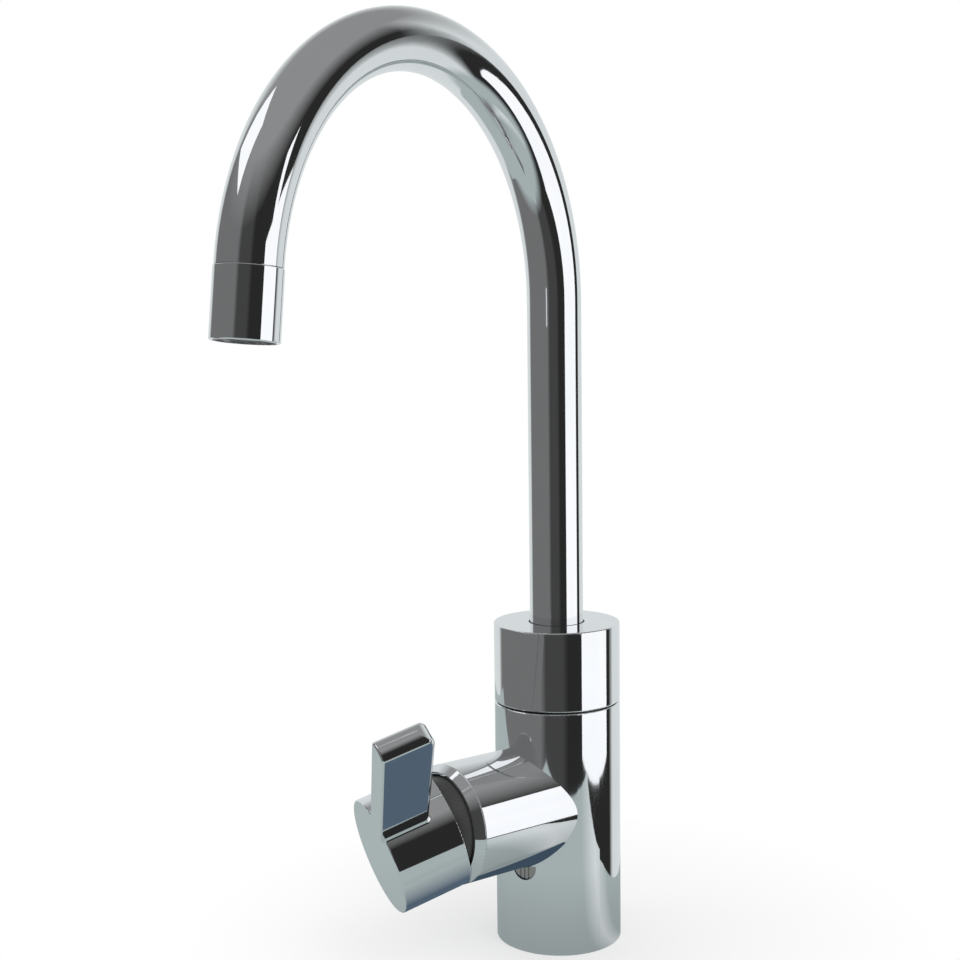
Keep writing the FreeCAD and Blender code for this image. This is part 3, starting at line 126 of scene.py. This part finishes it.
def moulded(name, colour, rough, grain=420.0, strength=0.08):
    """Moulded plastic, rubber or ceramic: fine grain, mottled colour and worn patches."""
    material = bpy.data.materials.new(name)
    tree = Tree(material)
    place = tree.add("ShaderNodeTexCoord").outputs["Object"]
    patches = tree.noise(place, 45.0, 4.0)
    texture = tree.noise(place, grain, 3.0, 0.6)
    darker = tuple(v * 0.8 for v in colour[:3]) + (1.0,)
    tint = tree.mix(tree.ranged(patches, 0.3, 0.7, 0.0, 1.0), colour, darker)
    bump = tree.add("ShaderNodeBump", {"Height": texture, "Strength": strength,
                                       "Distance": 0.0002}).outputs[0]
    roughness = tree.ranged(patches, 0.3, 0.7, rough, rough + 0.12)
    shader = tree.add("ShaderNodeBsdfPrincipled", {"Base Color": tint, "Roughness": roughness, "Normal": bump})
    tree.add("ShaderNodeOutputMaterial", {"Surface": shader.outputs[0]})
    return material


# ---------------------------------------------------------------- materials of the CAD nodes

CHROME = (0.86, 0.87, 0.885, 1.0)
mirror = chrome("mirror_chrome", CHROME, 0.015)
finishes = {
    mirror: ["body_casting", "bevel_ring", "lever_handle", "swivel_collar", "spout_tube", "outlet_sleeve"],
    chrome("plug_chrome", (0.42, 0.4, 0.385, 1.0), 0.16, (2600.0, 2600.0, 60.0)): ["front_plug"],
    moulded("satin_dome", (0.05, 0.051, 0.05, 1.0), 0.32, 700.0, 0.03): ["dome_cover"],
    moulded("dark_plastic", (0.02, 0.02, 0.022, 1.0), 0.4): ["swivel_glide_ring", "tube_seat_ring"],
    moulded("grey_plastic", (0.2, 0.205, 0.21, 1.0), 0.4): ["aerator_housing", "flow_straightener",
                                                          "grub_screw_cap"],
    moulded("cartridge_plastic", (0.72, 0.71, 0.66, 1.0), 0.38): [
        "cartridge_base", "cartridge_housing", "turning_carrier", "disc_carrier", "stem_adapter",
    ],
    moulded("tube_plastic", (0.78, 0.8, 0.8, 1.0), 0.3): ["filtered_water_tube"],
    moulded("rubber", (0.02, 0.02, 0.02, 1.0), 0.6): ["base_gasket", "front_plug_seal", "port_seals",
                                                     "spigot_o_rings", "aerator_seal"],
    turned_metal("raw_brass", (0.68, 0.46, 0.2, 1.0), 0.22, (200.0, 200.0, 4000.0)): ["cartridge_nut",
                                                                                    "spout_spigot"],
    turned_metal("steel", (0.56, 0.56, 0.57, 1.0), 0.2, (300.0, 300.0, 4000.0)): [
        "stem_pin", "cartridge_stem", "lever_grub_screw", "swivel_stop_screw",
    ],
    moulded("ceramic", (0.84, 0.84, 0.8, 1.0), 0.1, 300.0, 0.01): ["fixed_disc", "moving_disc"],
}
for material, names in finishes.items():
    for name in names:
        for slot in nodes[name].material_slots:
            slot.material = material


# ---------------------------------------------------------------- studio

def stage_mesh(name, vertices, faces, material):
    mesh = bpy.data.meshes.new(name)
    mesh.from_pydata(vertices, [], faces)
    stage = bpy.data.objects.new(name, mesh)
    scene.collection.objects.link(stage)
    stage.data.materials.append(material)
    return stage


def floor_material():
    """Pale paper that keeps the tap's shadow and turns into the white background further out."""
    material = bpy.data.materials.new("paper_floor")
    tree = Tree(material)
    place = tree.add("ShaderNodeTexCoord").outputs["Object"]
    paper = tree.ranged(tree.noise(place, 900.0, 3.0), 0.3, 0.7, 0.88, 0.92)
    colour = tree.add("ShaderNodeCombineColor", {"Red": paper, "Green": paper, "Blue": paper}).outputs[0]
    diffuse = tree.add("ShaderNodeBsdfDiffuse", {"Color": colour}).outputs[0]
    path = tree.add("ShaderNodeLightPath")
    seen = tree.math("MAXIMUM", path.outputs["Is Camera Ray"], path.outputs["Is Transmission Ray"])
    distance = tree.add("ShaderNodeVectorMath", {0: place}, operation="LENGTH").outputs["Value"]
    white = tree.math("MULTIPLY", seen, tree.ranged(distance, 0.03, 0.16, 0.55, 1.0))
    backdrop = tree.add("ShaderNodeEmission", {"Color": (1, 1, 1, 1), "Strength": 1.0}).outputs[0]
    shader = tree.add("ShaderNodeMixShader", {0: white, 1: diffuse, 2: backdrop}).outputs[0]
    tree.add("ShaderNodeOutputMaterial", {"Surface": shader})
    return material


FLOOR_HALF = 4
floor_corners = [
    (-FLOOR_HALF, -FLOOR_HALF, 0), (FLOOR_HALF, -FLOOR_HALF, 0), (FLOOR_HALF, FLOOR_HALF, 0),
    (-FLOOR_HALF, FLOOR_HALF, 0),
]
floor = stage_mesh("floor", floor_corners, [(0, 1, 2, 3)], floor_material())
floor.visible_glossy = False

# The studio that the chrome mirrors: a plain room in a few flat tones, with a window, a lamp, a white board,
# a sheet of paper and four small dark cards of painted shade. Azimuth 0 is towards the camera, positive to the
# camera's right.
WHITE = linear(250, 252, 255)
LIGHT = linear(210, 215, 215)
PAPER_TONE = linear(165, 175, 175)
CEILING = linear(140, 140, 140)
GREY = linear(110, 110, 110)
DUSK = linear(65, 65, 65)
DARK = linear(40, 40, 40)
# Painted shade: the blues of the cards that the arm, the cap and the plate mirror.
SHADE_BLUE = linear(60, 75, 90)
LEVER_SHADE_BLUE = linear(80, 95, 110)

# Strength of what the chrome mirrors, which makes up for the light that the chrome takes away.
MIRRORED = 1.13

# The walls round the room: (from, to, tone). The gaps between them are soft edges, and the rest is light.
WALLS = [(-120, -30, GREY), (-20, 10, DUSK), (20, 110, DARK)]
WALL_TOP = (25, 50)
FLOOR_EDGE = (-50, -40)
ROOM_RADIUS = 3.0
ROOM_CENTRE = 0.2

# Flat upright panels: (name, from, to, distance, bottom, top). Azimuths in degrees, lengths in metres.
PANELS = [
    ("window", -110, -60, 1.5, 1.2, 2.6),
    ("lamp_strip", 70, 80, 1.5, 0.4, 0.9),
    ("white_board", 45, 100, 0.65, -0.1, 0.4),
]

PAPER = [(0.22, -0.17), (-0.1, -0.29), (-0.42, 0.19), (-0.18, 0.43)]
PAPER_HEIGHT = 0.0002
# Azimuth and tone of the paper, then where the shade at the foot starts and ends, and how dark it is.
BOARD_GLOW = [(40, PAPER_TONE), (65, LIGHT), (90, PAPER_TONE)]
FOOT_SHADE = (0.03, 0.12, 0.24)

# Dark cards of painted shade close to the arm, the cap and the plate, which these parts mirror. Lengths in
# metres, angles in degrees, in the stage's frame.
ARM_DIRECTION = -49.7
ARM_HEIGHT = 0.0588
ARM_SHADE_RADIUS = 0.0244
ARM_SHADE = [(0.014, -27), (0.0562, -46)]
SHADE_END = -100
LEVER_ORIGIN = Vector((-0.04308, -0.03655, 0.0588))
LEVER_X = Vector((0.4853, -0.572, -0.6613))
LEVER_Y = Vector((0.1034, -0.7135, 0.693))
LEVER_Z = Vector((-0.8682, -0.4047, -0.2871))
PLATE_SHADE_OFFSET = 0.0061
PLATE_SHADE = [(0.0294, 0.0121), (0.0294, 0.0320), (0.0848, 0.0121), (0.0848, 0.0320)]
BACK_SHADE_OFFSET = 0.011
BACK_SHADE = [(-0.007, 0.026), (-0.007, 0.089), (0.007, 0.026), (0.007, 0.089)]
CAP_SHADE_RADIUS = 0.0239
CAP_SHADE = (0.003, 0.031)
CAP_SHADE_TURN = (-45, 30)
CAP_SHADE_SPAN = 0.0118
CARD_STEPS = [step / 24 for step in range(25)]


def round_ramp(tree, turn, stops):
    """Tones round the room. A stop is (degrees, colour)."""
    return tree.ramp(turn, [((degrees + 180) / 360, colour) for degrees, colour in stops])


def turn_of(tree, parts):
    """Azimuth round the tap from 0 to 1, with 0.5 towards the camera."""
    toward = tree.math("MULTIPLY", parts.outputs[1], -1.0)
    return tree.ranged(tree.math("ARCTAN2", parts.outputs[0], toward), -math.pi, math.pi, 0.0, 1.0)


def finish_emission(tree, colour):
    emission = tree.add("ShaderNodeEmission", {"Color": colour, "Strength": MIRRORED})
    tree.add("ShaderNodeOutputMaterial", {"Surface": emission.outputs[0]})


def room_material():
    """Walls up to WALL_TOP, ceiling above, and the pale floor below FLOOR_EDGE (elevations in degrees)."""
    material = bpy.data.materials.new("studio_room")
    tree = Tree(material)
    parts = tree.add("ShaderNodeSeparateXYZ", {"Vector": tree.add("ShaderNodeTexCoord").outputs["Object"]})
    sine = tree.math("DIVIDE", parts.outputs[2], ROOM_RADIUS)
    height = tree.math("MULTIPLY", tree.math("ARCSINE", sine), 180 / math.pi)
    stops = [(-130, LIGHT)]
    for start, end, tone in WALLS:
        stops += [(start, tone), (end, tone)]
    stops.append((120, LIGHT))
    colour = round_ramp(tree, turn_of(tree, parts), stops)
    colour = tree.mix(tree.ranged(height, *WALL_TOP, 0.0, 1.0), colour, CEILING)
    finish_emission(tree, tree.mix(tree.ranged(height, *FLOOR_EDGE, 1.0, 0.0), colour, PAPER_TONE))
    return material


def paper_material():
    """The paper round the foot, brighter where the board lights it and darker at the foot."""
    material = bpy.data.materials.new("mirrored_paper")
    tree = Tree(material)
    place = tree.add("ShaderNodeTexCoord").outputs["Object"]
    parts = tree.add("ShaderNodeSeparateXYZ", {"Vector": place})
    colour = round_ramp(tree, turn_of(tree, parts), BOARD_GLOW)
    distance = tree.add("ShaderNodeVectorMath", {0: place}, operation="LENGTH").outputs["Value"]
    near, far, darkest = FOOT_SHADE
    shade = tree.ranged(distance, near, far, darkest, 0.0)
    finish_emission(tree, tree.mix(shade, colour, (0.0, 0.0, 0.0, 1.0)))
    return material


def panel_material(name):
    """A lit panel, very slightly uneven."""
    material = bpy.data.materials.new(name)
    tree = Tree(material)
    place = tree.add("ShaderNodeTexCoord").outputs["Object"]
    soft = tree.ranged(tree.noise(place, 6.0), 0.3, 0.7, 0.0, 1.0)
    finish_emission(tree, tree.mix(soft, WHITE, linear(255, 255, 255)))
    return material


def shade_card_material(name, across, low, high, first, last):
    """A card of painted shade that runs from one tone to another, coloured on the side that faces the metal
    alone.
    """
    material = bpy.data.materials.new(name)
    tree = Tree(material)
    place = tree.add("ShaderNodeTexCoord").outputs["Object"]
    along = tree.add("ShaderNodeVectorMath", {0: place, 1: across}, operation="DOT_PRODUCT").outputs["Value"]
    colour = tree.mix(tree.ranged(along, low, high, 0.0, 1.0), first, last)
    front = tree.add("ShaderNodeEmission", {"Color": colour, "Strength": MIRRORED}).outputs[0]
    back = tree.add("ShaderNodeBsdfTransparent").outputs[0]
    side = tree.add("ShaderNodeNewGeometry").outputs["Backfacing"]
    shader = tree.add("ShaderNodeMixShader", {0: side, 1: front, 2: back}).outputs[0]
    tree.add("ShaderNodeOutputMaterial", {"Surface": shader})
    return material


def only_mirrored(stage):
    """Seen by reflections alone, so that it hides nothing from the camera and throws no shadow."""
    stage.visible_camera = False
    stage.visible_diffuse = False
    stage.visible_transmission = False
    stage.visible_shadow = False
    stage.rotation_euler[2] = math.radians(CAMERA_AZIMUTH)
    return stage


def strip(name, corners, material):
    """A strip of faces between two rows of corners that are given in turn."""
    faces = [(i, i + 1, i + 3, i + 2) for i in range(0, len(corners) - 2, 2)]
    return only_mirrored(stage_mesh(name, corners, faces, material))


def round_place(azimuth, distance, height):
    angle = math.radians(azimuth)
    return (distance * math.sin(angle), -distance * math.cos(angle), height)


def arm_place(turn, reach):
    """A point beside the arm: turn is the angle above the arm's side that the camera sees."""
    across = ARM_SHADE_RADIUS * math.cos(math.radians(turn))
    up = ARM_SHADE_RADIUS * math.sin(math.radians(turn))
    along = round_place(ARM_DIRECTION, reach, ARM_HEIGHT)
    side = round_place(ARM_DIRECTION + 90, across, up)
    return tuple(a + b for a, b in zip(along, side))


def lever_place(x, y, z):
    """A point in the lever's own frame: z along the cap, y up the plate."""
    return tuple(LEVER_ORIGIN + x * LEVER_X + y * LEVER_Y + z * LEVER_Z)


def cap_place(turn, along):
    angle = math.radians(turn)
    return lever_place(CAP_SHADE_RADIUS * math.cos(angle), CAP_SHADE_RADIUS * math.sin(angle), along)


room = bmesh.new()
bmesh.ops.create_icosphere(room, subdivisions=5, radius=ROOM_RADIUS)
dome = stage_mesh("studio_room", [], [], room_material())
room.to_mesh(dome.data)
room.free()
only_mirrored(dome).location[2] = ROOM_CENTRE

paper_corners = [(x, y, PAPER_HEIGHT) for x, y in PAPER]
only_mirrored(stage_mesh("mirrored_paper", paper_corners, [(0, 1, 2, 3)], paper_material()))
for name, start, end, distance, bottom, top in PANELS:
    corners = [round_place(azimuth, distance, height) for azimuth in (start, end) for height in (bottom, top)]
    strip(name, corners, panel_material(name))

# Painted shade: a dark blue shell beside the arm, a shell round the cap that runs from dark blue to the
# paper's tone, a dark blue card along the plate's side and a grey card behind its back.
strip("arm_shade", [
    arm_place(SHADE_END + (first - SHADE_END) * step, reach)
    for step in CARD_STEPS for reach, first in ARM_SHADE
], shade_card_material("arm_shade", (0, 0, 1), ARM_HEIGHT - ARM_SHADE_RADIUS, ARM_HEIGHT, SHADE_BLUE, SHADE_BLUE))
lever_base = LEVER_Y.dot(LEVER_ORIGIN)
strip("cap_shade", [
    cap_place(CAP_SHADE_TURN[0] + (CAP_SHADE_TURN[1] - CAP_SHADE_TURN[0]) * step, along)
    for step in CARD_STEPS for along in CAP_SHADE
], shade_card_material("cap_shade", LEVER_Y, lever_base, lever_base + CAP_SHADE_SPAN, LEVER_SHADE_BLUE, PAPER_TONE))
strip("plate_shade", [lever_place(PLATE_SHADE_OFFSET, y, z) for y, z in PLATE_SHADE],
      shade_card_material("plate_shade", LEVER_Y, 0.0, 1.0, LEVER_SHADE_BLUE, LEVER_SHADE_BLUE))
strip("back_shade", [lever_place(x, y, BACK_SHADE_OFFSET) for x, y in BACK_SHADE],
      shade_card_material("back_shade", LEVER_Y, 0.0, 1.0, GREY, GREY))

AMBIENT = 0.62
world = bpy.data.worlds.new("studio_world")
scene.world = world
sky = Tree(world)
path = sky.add("ShaderNodeLightPath")
shown = sky.math("MAXIMUM", path.outputs["Is Camera Ray"],
                 sky.math("MAXIMUM", path.outputs["Is Glossy Ray"], path.outputs["Is Transmission Ray"]))
strength = sky.ranged(shown, 0.0, 1.0, AMBIENT, 1.0)
background = sky.add("ShaderNodeBackground", {"Color": (1, 1, 1, 1), "Strength": strength})
sky.add("ShaderNodeOutputWorld", {"Surface": background.outputs[0]})


def area_light(name, place, target, size, power):
    data = bpy.data.lights.new(name, "AREA")
    data.shape = "DISK"
    data.size = size
    data.energy = power
    lamp = bpy.data.objects.new(name, data)
    lamp.location = place
    lamp.rotation_euler = (Vector(target) - Vector(place)).to_track_quat("-Z", "Y").to_euler()
    lamp.visible_glossy = False
    scene.collection.objects.link(lamp)


LAMP_TARGET = (0, -0.06, 0.15)
area_light("key_softbox", (1.1, -0.5, 1.5), LAMP_TARGET, 1.1, 12.0)
area_light("fill_softbox", (-1.2, -1.0, 1.0), LAMP_TARGET, 1.2, 5.0)

# ---------------------------------------------------------------- camera

# Fitted to the outlines, seams and ellipses of the photograph.
CAMERA_PLACE = (0.33992, -0.56153, 0.26502)
CAMERA_PAN, CAMERA_DOWN, CAMERA_ROLL = 2.699, 6.301, -0.748
CAMERA_LENS = 60.32

camera_data = bpy.data.cameras.new("camera")
camera_data.sensor_width = 36.0
camera_data.lens = CAMERA_LENS
camera_data.clip_start = 0.01
camera = bpy.data.objects.new("camera", camera_data)
camera.matrix_world = (
    Matrix.Translation(CAMERA_PLACE)
    @ Matrix.Rotation(math.radians(CAMERA_AZIMUTH + CAMERA_PAN), 4, "Z")
    @ Matrix.Rotation(math.radians(90 - CAMERA_DOWN), 4, "X")
    @ Matrix.Rotation(math.radians(CAMERA_ROLL), 4, "Z")
)
scene.collection.objects.link(camera)
scene.camera = camera
scene.view_settings.view_transform = "Standard"
